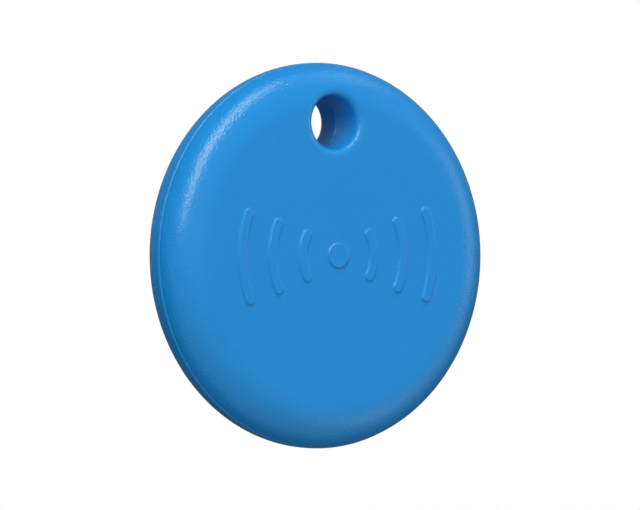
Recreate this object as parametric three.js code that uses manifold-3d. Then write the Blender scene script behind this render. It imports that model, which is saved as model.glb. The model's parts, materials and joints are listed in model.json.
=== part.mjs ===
// A round Bluetooth key tag: two snap-together plastic covers around a circuit board, a coin cell, a piezo
// sounder and a tactile switch. Pressing the front cover clicks the switch; the front cover lifts off to
// change the cell.
//
// Every piece is drawn in the tag's own disc frame, in millimetres: X to the right and Y up as the face is
// looked at, Z out of the face, origin at the centre of the disc. The last lines turn the disc upright, face
// towards -Y, and put the origin in the middle of the key-ring hole, which is where the tag hangs from.
import * as THREE from "three";
import { mergeVertices } from "three/addons/utils/BufferGeometryUtils.js";
import Module from "manifold-3d";

const wasm = await Module();
wasm.setup();

// ---- driving dimensions -------------------------------------------------------------------------------

const DISC_R = 19.4; // outer radius
const HALF = 3.7; // half of the thickness over the two flat faces
const WALL = 1.0; // of both faces
const FRONT_EDGE = { radial: 4.4, axial: HALF }; // quarter ellipse that rounds the front rim
const BACK_EDGE = { radial: 4.0, axial: HALF };

const TRAVEL = 0.12; // how far the front cover is pressed
const SEAM_Z = 0.74; // middle of the gap between the two covers
const SEAM_GAP = TRAVEL + 0.02;
const FRONT_BREAK = 0.05; // edges that meet at the seam: the front one is nearly sharp
const BACK_BREAK = 0.28;

const TONGUE = { inner: 17.3, outer: 18.1, top: 1.45 }; // lip of the back cover inside the front cover
const SKIRT_INNER = 18.2;
const LEDGE_Z = 1.9; // where the front cover rests on its seal

const HOLE_Y = 13.4; // key-ring hole above the disc's centre
const HOLE_R = 2.65;
const MOUTH = 0.95; // round of the hole's two mouths
const TUBE_R = 3.3; // front cover's tube around the hole
const COLLAR = { inner: 3.4, outer: 4.0, top: 1.0 }; // back cover's collar around that tube
const TUBE_END = -0.25;
const HOLE_LEDGE = 1.6;
const BOSS_R = 4.6;

const MARK = { height: 0.2, stroke: 1.0, dot: 1.25, radii: [4.3, 7.9, 11.5], halfHeight: [2.6, 3.8, 4.8] };

const NOTCH = { angle: -32, width: 5, depth: 0.9, reach: 0.45 }; // coin slot that opens the covers

const BOARD = { r: 17.1, bottom: -1.8, top: -1.2, cutout: 4.35 };
const POSTS = { r: 15.2, angles: [35, 145, 215, 325], base: 1.1, pin: 0.65, hole: 0.8, head: 1.05 };
const POST_HEAD = { bottom: -1.15, top: -0.8 };

const CELL = { y: -2, r: 10, bottom: -1, top: 2.2, capR: 8.7 };
const CRADLE = { inner: 10.2, outer: 11, base: -0.9, top: 0.6 };

const PIEZO = { y: -2.5, r: 11.5, ceramic: 8.5, bond: 0.1, plate: 0.15, disc: 0.15 };
const LEAF = 0.12; // thickness of the stamped contacts

const SWITCH = { y: -15, w: 3.4, d: 2.6, top: -0.35, frame: 0.12, well: 1.25, floor: -1, button: 0.7 };
const BUTTON_TOP = 0.1;
const PLUNGER_R = 1;
const TOUCH = 0.02; // gap left between pieces that only touch

const FLOOR_Z = -HALF + WALL;
const ROOF_Z = HALF - WALL;
const ROUND = 60; // segments round the covers
const MIDDLE = 32; // round the hole and the cell's pieces
const SMALL = 20; // round small pieces
const DEG = Math.PI / 180;

// ---- materials ----------------------------------------------------------------------------------------

function material(color, roughness, metalness = 0) {
  return new THREE.MeshStandardMaterial({ color, roughness, metalness });
}

const looks = {
  coverBlue: material(0x2a85cc, 0.45),
  sealRubber: material(0x1d2a36, 0.8),
  boardGreen: material(0x14573a, 0.5),
  cradleBlack: material(0x1c1d20, 0.55),
  steel: material(0xb9bcc0, 0.3, 1),
  gold: material(0xc9a64b, 0.3, 1),
  brass: material(0xc4a25a, 0.35, 1),
  ceramicWhite: material(0xe4e1d6, 0.45),
  adhesive: material(0x2b2b2d, 0.85),
  chipBlack: material(0x17181a, 0.5),
  ferrite: material(0x35363a, 0.65),
  capacitorTan: material(0xa9805a, 0.5),
  tantalum: material(0xc98a2c, 0.5),
  cathode: material(0x222224, 0.9),
  lithium: material(0xc8cacc, 0.4, 1),
};

// ---- solids -------------------------------------------------------------------------------------------

// A closed geometry as a manifold solid, so that it can be joined and cut.
function solid(geometry) {
  const bare = geometry.index ? geometry.toNonIndexed() : geometry.clone();
  for (const name of Object.keys(bare.attributes)) if (name !== "position") bare.deleteAttribute(name);
  const merged = mergeVertices(bare, 1e-4);
  return new wasm.Manifold(
    new wasm.Mesh({
      numProp: 3,
      vertProperties: merged.attributes.position.array,
      triVerts: new Uint32Array(merged.index.array),
    }),
  );
}

function geometryOf(body) {
  const mesh = body.getMesh();
  const points = new Float32Array(mesh.numVert * 3);
  for (let i = 0; i < mesh.numVert; i++) {
    points.set(mesh.vertProperties.subarray(i * mesh.numProp, i * mesh.numProp + 3), i * 3);
  }
  const geometry = new THREE.BufferGeometry();
  geometry.setAttribute("position", new THREE.BufferAttribute(points, 3));
  geometry.setIndex(new THREE.BufferAttribute(mesh.triVerts, 1));
  geometry.computeVertexNormals();
  return geometry;
}

// A turned shape round the Z axis. The outline is a list of [radius, z], listed anticlockwise with z up the
// page and the radius to the right; it starts and ends on the axis, or closes on itself for a ring.
function turned(outline, segments = SMALL) {
  const onAxis = outline[0][0] === 0;
  const points = (onAxis ? outline : [...outline, outline[0]]).map(([r, z]) => new THREE.Vector2(r, z));
  return new THREE.LatheGeometry(points, segments).rotateX(Math.PI / 2);
}

function disc(r, bottom, top, segments = SMALL) {
  return turned([[0, bottom], [r, bottom], [r, top], [0, top]], segments);
}

function ring(inner, outer, bottom, top, segments = SMALL) {
  return turned([[inner, bottom], [outer, bottom], [outer, top], [inner, top]], segments);
}

function box(w, d, bottom, top) {
  return new THREE.BoxGeometry(w, d, top - bottom).translate(0, 0, (bottom + top) / 2);
}

// Points on a quarter ellipse about [r, z], from one angle to another in degrees.
function arc(r, z, radial, axial, from, to, steps) {
  return Array.from({ length: steps + 1 }, (_, i) => {
    const a = (from + ((to - from) * i) / steps) * DEG;
    return [r + radial * Math.cos(a), z + axial * Math.sin(a)];
  });
}

// Angle on an edge ellipse at which it reaches the height z.
function angleAt(edge, z) {
  return Math.asin(z / edge.axial) / DEG;
}

// A strip of sheet metal bent along a path of [x, z] points, of one thickness, and as wide as width along Y.
function strip(path, thickness, width) {
  const points = path.map(([x, z]) => new THREE.Vector2(x, z));
  const sides = points.map((p, i) => {
    const before = points[Math.max(i - 1, 0)];
    const after = points[Math.min(i + 1, points.length - 1)];
    const inward = i > 0 ? p.clone().sub(before).normalize() : after.clone().sub(p).normalize();
    const outward = i < points.length - 1 ? after.clone().sub(p).normalize() : inward.clone();
    const normal = new THREE.Vector2(-inward.y - outward.y, inward.x + outward.x).normalize();
    const reach = thickness / 2 / Math.max(0.5, normal.dot(new THREE.Vector2(-inward.y, inward.x)));
    return [p.clone().addScaledVector(normal, reach), p.clone().addScaledVector(normal, -reach)];
  });
  const shape = new THREE.Shape([...sides.map((s) => s[0]), ...sides.map((s) => s[1]).reverse()]);
  const sheet = new THREE.ExtrudeGeometry(shape, { depth: width, bevelEnabled: false, curveSegments: 1 });
  return sheet.translate(0, 0, -width / 2).rotateX(Math.PI / 2);
}

const parts = new THREE.Group();

function add(name, shape, look, place = {}) {
  const mesh = new THREE.Mesh(shape instanceof THREE.BufferGeometry ? shape : geometryOf(shape), look);
  mesh.name = name;
  mesh.position.set(place.x ?? 0, place.y ?? 0, place.z ?? 0);
  mesh.rotation.z = (place.turn ?? 0) * DEG;
  parts.add(mesh);
}

// ---- covers -------------------------------------------------------------------------------------------

// The hole with its two rounded mouths, as the solid that is taken out of both covers.
function holeCutter() {
  const over = 0.5;
  const back = arc(HOLE_R + MOUTH, -HALF + MOUTH, MOUTH, MOUTH, 270, 180, 4);
  const front = arc(HOLE_R + MOUTH, HALF - MOUTH, MOUTH, MOUTH, 180, 90, 4);
  const wide = HOLE_R + MOUTH;
  return solid(
    turned([[0, -HALF - over], [wide, -HALF - over], ...back, ...front, [wide, HALF + over], [0, HALF + over]], MIDDLE),
  ).translate([0, HOLE_Y, 0]);
}

function atHole(geometry) {
  return solid(geometry.translate(0, HOLE_Y, 0));
}

// One bow of the raised mark: a piece of a ring, with round ends.
function bow(radius, halfHeight, side) {
  const half = MARK.stroke / 2;
  const reach = Math.asin((halfHeight - half) / radius);
  const middle = side > 0 ? 0 : Math.PI;
  const shape = new THREE.Shape();
  shape.absarc(0, 0, radius + half, middle - reach, middle + reach, false);
  const end = new THREE.Vector2(radius * Math.cos(middle + reach), radius * Math.sin(middle + reach));
  shape.absarc(end.x, end.y, half, middle + reach, middle + reach + Math.PI, false);
  shape.absarc(0, 0, radius - half, middle + reach, middle - reach, true);
  const start = new THREE.Vector2(radius * Math.cos(middle - reach), radius * Math.sin(middle - reach));
  shape.absarc(start.x, start.y, half, middle - reach + Math.PI, middle - reach + 2 * Math.PI, false);
  const depth = WALL / 2 + MARK.height;
  return solid(
    new THREE.ExtrudeGeometry(shape, { depth, bevelEnabled: false, curveSegments: 5 }).translate(
      0,
      0,
      HALF - WALL / 2,
    ),
  );
}

function raisedMark() {
  let mark = solid(disc(MARK.dot, HALF - WALL / 2, HALF + MARK.height));
  MARK.radii.forEach((radius, i) => {
    for (const side of [-1, 1]) mark = mark.add(bow(radius, MARK.halfHeight[i], side));
  });
  return mark;
}

// The coin slot on the rim, cut half out of each cover.
function coinSlot() {
  const slot = box(NOTCH.depth * 2, NOTCH.width, SEAM_Z - NOTCH.reach - SEAM_GAP / 2, SEAM_Z + NOTCH.reach + SEAM_GAP / 2);
  return solid(slot.translate(DISC_R, 0, 0).rotateZ(NOTCH.angle * DEG));
}

function frontCover() {
  const edgeZ = SEAM_Z + SEAM_GAP / 2;
  const flatR = DISC_R - FRONT_EDGE.radial;
  const outer = arc(flatR, 0, FRONT_EDGE.radial, FRONT_EDGE.axial, angleAt(FRONT_EDGE, edgeZ + FRONT_BREAK), 90, 7);
  const inner = { radial: FRONT_EDGE.radial - WALL, axial: ROOF_Z };
  const roof = arc(flatR, 0, inner.radial, inner.axial, 90, angleAt(inner, LEDGE_Z), 4);
  const shell = solid(
    turned(
      [
        [0, ROOF_Z],
        ...roof,
        [SKIRT_INNER, LEDGE_Z],
        [SKIRT_INNER, edgeZ],
        [outer[0][0] - FRONT_BREAK, edgeZ],
        ...outer,
        [0, HALF],
      ],
      ROUND,
    ),
  );
  const insideRim = solid(disc(TONGUE.inner, FLOOR_Z, ROOF_Z + WALL, ROUND)); // keeps the boss off the rim seal
  const boss = atHole(disc(BOSS_R, HOLE_LEDGE, ROOF_Z + WALL / 2, MIDDLE)).intersect(insideRim);
  const tube = atHole(disc(TUBE_R, TUBE_END, ROOF_Z + WALL / 2, MIDDLE));
  const plunger = solid(disc(PLUNGER_R, BUTTON_TOP + TOUCH, ROOF_Z + WALL / 2).translate(0, SWITCH.y, 0));
  return shell.add(boss).add(tube).add(plunger).subtract(holeCutter()).add(raisedMark()).subtract(coinSlot());
}

function backCover() {
  const edgeZ = SEAM_Z - SEAM_GAP / 2;
  const flatR = DISC_R - BACK_EDGE.radial;
  const outer = arc(flatR, 0, BACK_EDGE.radial, BACK_EDGE.axial, 270, 360, 7);
  const cornerR = 0.9; // round between the inside floor and the wall
  const floor = arc(TONGUE.inner - cornerR, FLOOR_Z + cornerR, cornerR, cornerR, 0, -90, 3);
  const shell = solid(
    turned(
      [
        [0, -HALF],
        ...outer,
        [DISC_R, edgeZ - BACK_BREAK],
        [DISC_R - BACK_BREAK * 0.3, edgeZ - BACK_BREAK * 0.3],
        [DISC_R - BACK_BREAK, edgeZ],
        [TONGUE.outer, edgeZ],
        [TONGUE.outer, TONGUE.top],
        [TONGUE.inner, TONGUE.top],
        ...floor,
        [0, FLOOR_Z],
      ],
      ROUND,
    ),
  );
  const foot = FLOOR_Z - WALL / 2;
  const seat = TUBE_END - SEAM_GAP;
  let body = shell
    .add(atHole(disc(COLLAR.outer, foot, COLLAR.top, MIDDLE)))
    .subtract(atHole(disc(COLLAR.inner, seat, COLLAR.top + 1, MIDDLE)));
  for (const angle of POSTS.angles) {
    const post = turned([
      [0, foot],
      [POSTS.base, foot],
      [POSTS.base, BOARD.bottom - TOUCH],
      [POSTS.pin, BOARD.bottom - TOUCH],
      [POSTS.pin, POST_HEAD.bottom],
      [POSTS.head, POST_HEAD.bottom],
      [POSTS.head, (POST_HEAD.bottom + POST_HEAD.top) / 2],
      [POSTS.pin, POST_HEAD.top],
      [0, POST_HEAD.top],
    ], SMALL);
    body = body.add(solid(post.translate(...onCircle(POSTS.r, angle), 0)));
  }
  return body.subtract(holeCutter()).subtract(coinSlot());
}

function onCircle(r, angle) {
  return [r * Math.cos(angle * DEG), r * Math.sin(angle * DEG)];
}

function coversAndSeals() {
  add("front_cover", frontCover(), looks.coverBlue);
  add("back_cover", backCover(), looks.coverBlue);
  const lip = 0.08; // seals stand this far inside the walls that hold them
  add("rim_seal", ring(TONGUE.inner + lip, TONGUE.outer - lip, TONGUE.top, LEDGE_Z, ROUND), looks.sealRubber);
  const holeSeal = ring(COLLAR.inner + lip / 2, COLLAR.outer - lip, COLLAR.top, HOLE_LEDGE, MIDDLE);
  add("hole_seal", holeSeal, looks.sealRubber, { y: HOLE_Y });
}

// ---- circuit board and what is soldered on it ----------------------------------------------------------

function circuitBoard() {
  let board = solid(disc(BOARD.r, BOARD.bottom, BOARD.top, ROUND));
  board = board.subtract(atHole(disc(BOARD.cutout, BOARD.bottom - 1, BOARD.top + 1, MIDDLE)));
  for (const angle of POSTS.angles) {
    const hole = disc(POSTS.hole, BOARD.bottom - 1, BOARD.top + 1, SMALL);
    board = board.subtract(solid(hole.translate(...onCircle(POSTS.r, angle), 0)));
  }
  add("circuit_board", board, looks.boardGreen);
}

// name, look, width, depth, height, x, y, turn
const CHIPS = [
  ["radio_chip", "chipBlack", 4, 4, 0.85, -14, -2, 0],
  ["crystal", "steel", 2.5, 2, 0.6, -13.6, 2.3, 0],
  ["chip_antenna", "ceramicWhite", 5, 1.6, 1.1, -8.7, 12.5, 35],
  ["boost_inductor", "ferrite", 4, 4, 1.8, 13.5, 3.4, 0],
  ["sounder_driver", "chipBlack", 2.6, 2.6, 0.75, 13.6, -5.4, 0],
  ["reservoir_capacitor", "tantalum", 3.5, 2.8, 1.9, -8.2, -12.1, -34],
  ["chip_capacitor_1", "capacitorTan", 1.6, 0.8, 0.8, -14.6, -5.2, 0],
  ["chip_capacitor_2", "capacitorTan", 1.6, 0.8, 0.8, -12.4, -5.4, 90],
  ["chip_capacitor_3", "capacitorTan", 1.6, 0.8, 0.8, -15.2, 5.2, 70],
  ["chip_capacitor_4", "capacitorTan", 1.6, 0.8, 0.8, -5.4, 13.4, 90],
  ["chip_capacitor_5", "capacitorTan", 1.6, 0.8, 0.8, 15.2, -1.4, 90],
  ["chip_resistor_1", "chipBlack", 1.6, 0.8, 0.45, 4.6, -14.7, 20],
  ["chip_resistor_2", "chipBlack", 1.6, 0.8, 0.45, 7.4, -13.6, 30],
  ["chip_resistor_3", "chipBlack", 1.6, 0.8, 0.45, -4.2, -15, -15],
];

function chips() {
  for (const [name, look, w, d, h, x, y, turn] of CHIPS) {
    add(name, box(w, d, BOARD.top, BOARD.top + h), looks[look], { x, y, turn });
  }
}

function cellContacts() {
  const foot = BOARD.top + LEAF / 2;
  const rise = CELL.bottom - TOUCH - LEAF / 2;
  const bridge = strip([[-4.5, foot], [-3.3, foot], [-1.2, rise], [1.2, rise], [3.3, foot], [4.5, foot]], LEAF, 2.2);
  add("cell_contact_minus", bridge, looks.gold, { y: CELL.y });
  const touch = CELL.r + TOUCH + LEAF / 2 + 0.02;
  const side = strip(
    [[13.4, foot], [11.5, foot], [11.5, 1.1], [11.2, 1.4], [10.8, 1.3], [touch, 0.5], [10.35, -0.3]],
    LEAF,
    2.4,
  );
  add("cell_contact_plus", side, looks.gold, { y: CELL.y });
}

function cellCradle() {
  const wall = solid(ring(CRADLE.inner, CRADLE.outer, BOARD.top, CRADLE.top, ROUND));
  const window = solid(box(4, 3.6, CRADLE.base, CRADLE.top + 1).translate(CRADLE.outer, 0, 0));
  const fingerGap = solid(
    box(4, 6, CRADLE.base, CRADLE.top + 1).translate(CRADLE.outer, 0, 0).rotateZ(-50 * DEG),
  );
  add("cell_cradle", wall.subtract(window).subtract(fingerGap), looks.cradleBlack, { y: CELL.y });
}

function coinCell() {
  const crimp = CELL.bottom + 0.1;
  const wall = 0.25;
  const can = turned(
    [
      [0, CELL.top - wall],
      [CELL.r - wall, CELL.top - wall],
      [CELL.r - wall, crimp + wall],
      [CELL.r - 0.75, crimp + wall - 0.05],
      [CELL.r - 0.75, crimp],
      [CELL.r - 0.3, crimp],
      [CELL.r, crimp + 0.3],
      [CELL.r, CELL.top - 0.3],
      [CELL.r - 0.1, CELL.top - 0.1],
      [CELL.r - 0.35, CELL.top],
      [0, CELL.top],
    ],
    ROUND,
  );
  add("cell_can", can, looks.steel, { y: CELL.y });
  const grommet = ring(CELL.capR + 0.05, CELL.r - 0.8, crimp, crimp + 0.2, MIDDLE);
  add("cell_grommet", grommet, looks.adhesive, { y: CELL.y });
  const flange = crimp + 0.3;
  const cap = turned(
    [
      [0, CELL.bottom],
      [CELL.capR - 0.3, CELL.bottom],
      [CELL.capR, crimp + 0.1],
      [CELL.capR, flange],
      [CELL.r - 0.4, flange],
      [CELL.r - 0.4, flange + wall],
      [CELL.capR - wall, flange + wall],
      [CELL.capR - wall, CELL.bottom + wall],
      [0, CELL.bottom + wall],
    ],
    48,
  );
  add("cell_cap", cap, looks.steel, { y: CELL.y });
  const inside = CELL.capR - wall - 0.1;
  add("cell_anode", disc(inside, CELL.bottom + wall, -0.1, MIDDLE), looks.lithium, { y: CELL.y });
  add("cell_separator", disc(CELL.r - 0.5, -0.1, 0.05, MIDDLE), looks.ceramicWhite, { y: CELL.y });
  add("cell_cathode", disc(CELL.r - 0.5, 0.05, CELL.top - wall, MIDDLE), looks.cathode, { y: CELL.y });
}

// ---- piezo sounder under the board ----------------------------------------------------------------------

function sounder() {
  const plateZ = FLOOR_Z + PIEZO.bond;
  const discZ = plateZ + PIEZO.plate;
  const faceZ = discZ + PIEZO.disc;
  add("sounder_bond_ring", ring(10, PIEZO.r, FLOOR_Z, plateZ, MIDDLE), looks.adhesive, { y: PIEZO.y });
  add("sounder_plate", disc(PIEZO.r, plateZ, discZ, MIDDLE), looks.brass, { y: PIEZO.y });
  add("sounder_ceramic", disc(PIEZO.ceramic, discZ, faceZ, MIDDLE), looks.ceramicWhite, { y: PIEZO.y });
  const foot = BOARD.bottom - LEAF / 2;
  const finger = (tip) => strip([[-1.6, foot], [-0.4, foot], [1.4, tip + LEAF / 2 + TOUCH], [2, tip + 0.22]], LEAF, 1);
  add("sounder_contact_middle", finger(faceZ), looks.gold, { x: 2.4, y: PIEZO.y });
  add("sounder_contact_edge", finger(discZ), looks.gold, { x: -8.2, y: PIEZO.y, turn: 180 });
}

// ---- tactile switch ---------------------------------------------------------------------------------------

function tactileSwitch() {
  const base = solid(box(SWITCH.w, SWITCH.d, BOARD.top, SWITCH.top));
  const well = solid(disc(SWITCH.well, SWITCH.floor, SWITCH.top + 1));
  add("switch_base", base.subtract(well), looks.chipBlack, { y: SWITCH.y });
  const rise = 0.34;
  const gauge = 0.08;
  const domeTop = [0.55, 0.85, 1].map((share) => share * rise);
  const dome = turned([
    [0, SWITCH.floor + domeTop[2] - gauge],
    [0.45, SWITCH.floor + domeTop[1] - gauge],
    [0.85, SWITCH.floor + domeTop[0] - gauge],
    [1.1, SWITCH.floor],
    [1.2, SWITCH.floor],
    [0.9, SWITCH.floor + domeTop[0]],
    [0.45, SWITCH.floor + domeTop[1]],
    [0, SWITCH.floor + domeTop[2]],
  ]);
  add("switch_dome", dome, looks.steel, { y: SWITCH.y });
  const frameTop = SWITCH.top + SWITCH.frame;
  const plate = solid(box(SWITCH.w, SWITCH.d, SWITCH.top, frameTop));
  const opening = solid(disc(SWITCH.button + 0.08, SWITCH.top - 1, frameTop + 1));
  add("switch_frame", plate.subtract(opening), looks.steel, { y: SWITCH.y });
  const flangeZ = SWITCH.floor + rise + TOUCH;
  const button = turned([
    [0, flangeZ],
    [SWITCH.well - 0.15, flangeZ],
    [SWITCH.well - 0.15, flangeZ + 0.18],
    [SWITCH.button, flangeZ + 0.18],
    [SWITCH.button, BUTTON_TOP],
    [0, BUTTON_TOP],
  ]);
  add("switch_button", button, looks.cradleBlack, { y: SWITCH.y });
}

// ---- the tag ------------------------------------------------------------------------------------------------

coversAndSeals();
circuitBoard();
chips();
cellContacts();
cellCradle();
coinCell();
sounder();
tactileSwitch();

parts.position.set(0, -HOLE_Y, 0);
const tag = new THREE.Group();
const upright = new THREE.Group(); // turns the disc's Z, out of the face, to the tag's -Y
upright.rotation.x = Math.PI / 2;
upright.add(parts);
tag.add(upright);

export default tag;
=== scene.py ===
"""A round Bluetooth key tag: two covers, seals, circuit board, coin cell, sounder and switch, in a studio.

Shapes are worked out in millimetres in the disc's own frame: X to the right and Y up as the face is looked
at, Z out of the face, origin in the middle of the disc. A finished mesh is turned upright, face towards -Y,
and put in metres round the middle of the key-ring hole, where the frame's origin is.
"""

import json
import math

import bmesh
import bpy
import numpy as np
from mathutils import Matrix, Vector
from mathutils.geometry import delaunay_2d_cdt


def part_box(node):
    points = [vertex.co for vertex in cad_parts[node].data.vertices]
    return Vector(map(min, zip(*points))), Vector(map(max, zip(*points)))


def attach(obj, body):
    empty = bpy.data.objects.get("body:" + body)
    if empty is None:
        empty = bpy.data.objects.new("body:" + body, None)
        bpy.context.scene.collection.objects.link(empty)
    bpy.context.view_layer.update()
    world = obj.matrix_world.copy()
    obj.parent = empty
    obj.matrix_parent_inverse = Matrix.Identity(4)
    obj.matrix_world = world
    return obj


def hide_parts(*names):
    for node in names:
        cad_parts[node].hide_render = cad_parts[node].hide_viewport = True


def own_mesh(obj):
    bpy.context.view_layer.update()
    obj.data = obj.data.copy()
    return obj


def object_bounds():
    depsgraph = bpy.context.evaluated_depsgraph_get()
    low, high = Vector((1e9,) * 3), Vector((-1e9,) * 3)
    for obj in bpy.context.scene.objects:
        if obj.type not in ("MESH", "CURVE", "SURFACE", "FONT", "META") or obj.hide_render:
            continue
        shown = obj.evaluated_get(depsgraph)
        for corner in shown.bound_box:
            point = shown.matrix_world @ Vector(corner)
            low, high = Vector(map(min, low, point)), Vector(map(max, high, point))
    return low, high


bl_info = {
    "name": "Bluetooth Key Tag",
    "version": (1, 0, 0),
    "blender": (4, 5, 0),
    "location": "3D View > Sidebar > Key Tag",
    "description": "Builds a round key tag, piece by piece, and a studio to show it in",
    "category": "Object",
}

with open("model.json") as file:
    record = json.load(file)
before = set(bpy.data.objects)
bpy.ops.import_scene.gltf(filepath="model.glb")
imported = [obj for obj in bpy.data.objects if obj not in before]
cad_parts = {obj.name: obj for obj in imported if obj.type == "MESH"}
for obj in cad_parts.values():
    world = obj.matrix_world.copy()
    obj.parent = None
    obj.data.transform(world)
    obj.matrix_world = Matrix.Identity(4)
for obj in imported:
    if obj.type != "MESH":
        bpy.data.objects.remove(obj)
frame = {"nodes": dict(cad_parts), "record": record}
CAD_LOW, CAD_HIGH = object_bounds()

MM = 0.001
DISC_R = (CAD_HIGH.x - CAD_LOW.x) / 2 / MM
HOLE_Y = DISC_R - CAD_HIGH.z / MM  # the frame's origin is in the hole, this far above the disc's centre
HALF = CAD_HIGH.y / MM

RIM_N = 256  # points round a cover
HOLE_N = 96  # points round the hole


# ---- settings --------------------------------------------------------------


def length(name, description, default_mm):
    return bpy.props.FloatProperty(
        name=name, description=description, default=default_mm * MM, min=0.0, unit="LENGTH"
    )


def colour(name, description, default):
    return bpy.props.FloatVectorProperty(
        name=name, description=description, default=default, size=3, min=0.0, max=1.0, subtype="COLOR"
    )


def share(name, description, default):
    return bpy.props.FloatProperty(
        name=name, description=description, default=default, min=0.0, max=1.0, subtype="FACTOR"
    )


def angle(name, description, degrees):
    return bpy.props.FloatProperty(
        name=name, description=description, default=math.radians(degrees), subtype="ANGLE"
    )


class CoverSettings(bpy.types.PropertyGroup):
    """Sizes and finish of the two moulded covers."""

    front_flat: length("Front flat radius", "Radius at which the front face starts to round over", 15.0)
    back_flat: length("Back flat radius", "Radius at which the back face starts to round over", 15.4)
    wall: length("Wall", "Thickness of both faces", 1.0)
    hole: length("Hole radius", "Radius of the key-ring hole", 2.65)
    mouth: length("Mouth round", "Round of the hole's two mouths", 0.95)
    seam: length("Seam height", "Middle of the seam, in front of the middle of the disc", 0.74)
    gap: length("Seam gap", "Gap between the covers' edges", 0.14)
    front_break: length("Front edge", "Round of the front cover's edge at the seam", 0.05)
    back_break: length("Back edge", "Round of the back cover's edge at the seam", 0.28)
    stroke: length("Mark stroke", "Width of the raised mark's lines", 1.0)
    relief: length("Mark relief", "Height of the raised mark", 0.2)
    plastic: colour("Plastic", "Colour of the moulded covers", (0.0070, 0.222, 0.580))
    roughness: share("Roughness", "Roughness of the moulded covers", 0.22)


class BoardSettings(bpy.types.PropertyGroup):
    """Finish of the circuit board and what is soldered on it."""

    mask: colour("Solder mask", "Colour of the board's solder mask", (0.008, 0.085, 0.045))
    copper: colour("Tracks", "Colour of the tracks under the mask", (0.02, 0.17, 0.08))
    core: colour("Board core", "Colour of the board's cut edge", (0.30, 0.27, 0.12))
    bevel: length("Part bevel", "Bevel of the electronic parts' edges", 0.05)


class CellSettings(bpy.types.PropertyGroup):
    """Sizes of the standard coin cell."""

    radius: length("Cell radius", "Outer radius of the can", 10.0)
    bottom: length("Cell bottom", "Height of the minus face above the disc's middle", -1.0)
    top: length("Cell top", "Height of the plus face above the disc's middle", 2.2)
    steel: colour("Plated steel", "Colour of the can and the cap", (0.55, 0.56, 0.57))


class StudioSettings(bpy.types.PropertyGroup):
    """Camera, floor and lights."""

    azimuth: angle("Azimuth", "Camera's turn round the tag from straight ahead", -33.98)
    elevation: angle("Elevation", "Camera's height above the horizon", 0.32)
    roll: angle("Roll", "Camera's turn about its line of sight", -0.51)
    distance: length("Distance", "From the camera to the disc's centre", 652.4)
    lens: bpy.props.FloatProperty(
        name="Lens", description="Focal length, 36 mm wide sensor", default=364.6, min=1.0, unit="CAMERA"
    )
    floor: colour("Floor", "Colour of the pale floor", (0.9, 0.9, 0.9))
    floor_drop: length("Floor drop", "How far the floor is below the tag", 14.0)
    floor_radius: length("Floor radius", "Radius at which the floor has faded out", 180.0)


# ---- node trees written as expressions -------------------------------------


class Sock:
    """A value or colour in a node tree; arithmetic on it adds Math nodes to the tree."""

    def __init__(self, tree, socket):
        self.tree = tree
        self.socket = socket

    def worked(self, operation, *values):
        node = self.tree.nodes.new("ShaderNodeMath")
        node.operation = operation
        for slot, value in zip(node.inputs, values):
            feed(self.tree, slot, value)
        return Sock(self.tree, node.outputs[0])

    def math(self, operation, *others):
        return self.worked(operation, self, *others)

    def reflected(self, operation, other):
        return self.worked(operation, other, self)

    def __add__(self, other):
        return self.math("ADD", other)

    def __radd__(self, other):
        return self.reflected("ADD", other)

    def __sub__(self, other):
        return self.math("SUBTRACT", other)

    def __rsub__(self, other):
        return self.reflected("SUBTRACT", other)

    def __mul__(self, other):
        return self.math("MULTIPLY", other)

    def __rmul__(self, other):
        return self.reflected("MULTIPLY", other)

    def __truediv__(self, other):
        return self.math("DIVIDE", other)

    def __gt__(self, other):
        return self.math("GREATER_THAN", other)

    def __lt__(self, other):
        return self.math("LESS_THAN", other)

    def clamp(self):
        return self.math("MAXIMUM", 0.0).math("MINIMUM", 1.0)


def feed(tree, slot, value):
    if isinstance(value, Sock):
        tree.links.new(value.socket, slot)
    elif hasattr(slot.default_value, "__len__") and len(slot.default_value) == 4 and len(value) == 3:
        slot.default_value = (*value, 1.0)
    else:
        slot.default_value = value


class Finish:
    """A procedural material under construction."""

    def __init__(self, name):
        self.material = bpy.data.materials.new(name)
        self.material.use_nodes = True
        self.tree = self.material.node_tree
        self.tree.nodes.clear()
        self.output = self.tree.nodes.new("ShaderNodeOutputMaterial")

    def node(self, kind, settings=None, out=0, **sockets):
        """Adds a node: its settings first, then its sockets by name, and gives one of its outputs."""
        made = self.tree.nodes.new(kind)
        for key, value in (settings or {}).items():
            setattr(made, key, value)
        for key, value in sockets.items():
            wanted = key.replace("_", " ").lower()
            slot = next(s for s in made.inputs if s.name.lower() == wanted and s.enabled)
            feed(self.tree, slot, value)
        return Sock(self.tree, made.outputs[out])

    def place(self):
        """Object coordinates, which are metres in the frame."""
        return self.node("ShaderNodeTexCoord", out=3)

    def axes(self):
        made = self.tree.nodes.new("ShaderNodeSeparateXYZ")
        feed(self.tree, made.inputs[0], self.place())
        return tuple(Sock(self.tree, s) for s in made.outputs)

    def noise(self, scale, detail=2.0, roughness=0.5):
        return self.node(
            "ShaderNodeTexNoise", vector=self.place(), scale=scale, detail=detail, roughness=roughness
        )

    def blend(self, factor, first, second, how="MIX"):
        made = self.tree.nodes.new("ShaderNodeMix")
        made.data_type = "RGBA"
        made.blend_type = how
        feed(self.tree, made.inputs[0], factor)
        feed(self.tree, made.inputs[6], first)
        feed(self.tree, made.inputs[7], second)
        return Sock(self.tree, made.outputs[2])

    def shade(self, base, factor):
        """A colour made lighter or darker by a factor about 1."""
        grey = self.node("ShaderNodeCombineColor", red=factor, green=factor, blue=factor)
        return self.blend(1.0, base, grey, "MULTIPLY")

    def bump(self, height, distance):
        return self.node("ShaderNodeBump", height=height, distance=distance, strength=1.0)

    def surface(self, **sockets):
        shader = self.node("ShaderNodeBsdfPrincipled", **sockets)
        self.tree.links.new(shader.socket, self.output.inputs[0])
        return self.material


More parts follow.
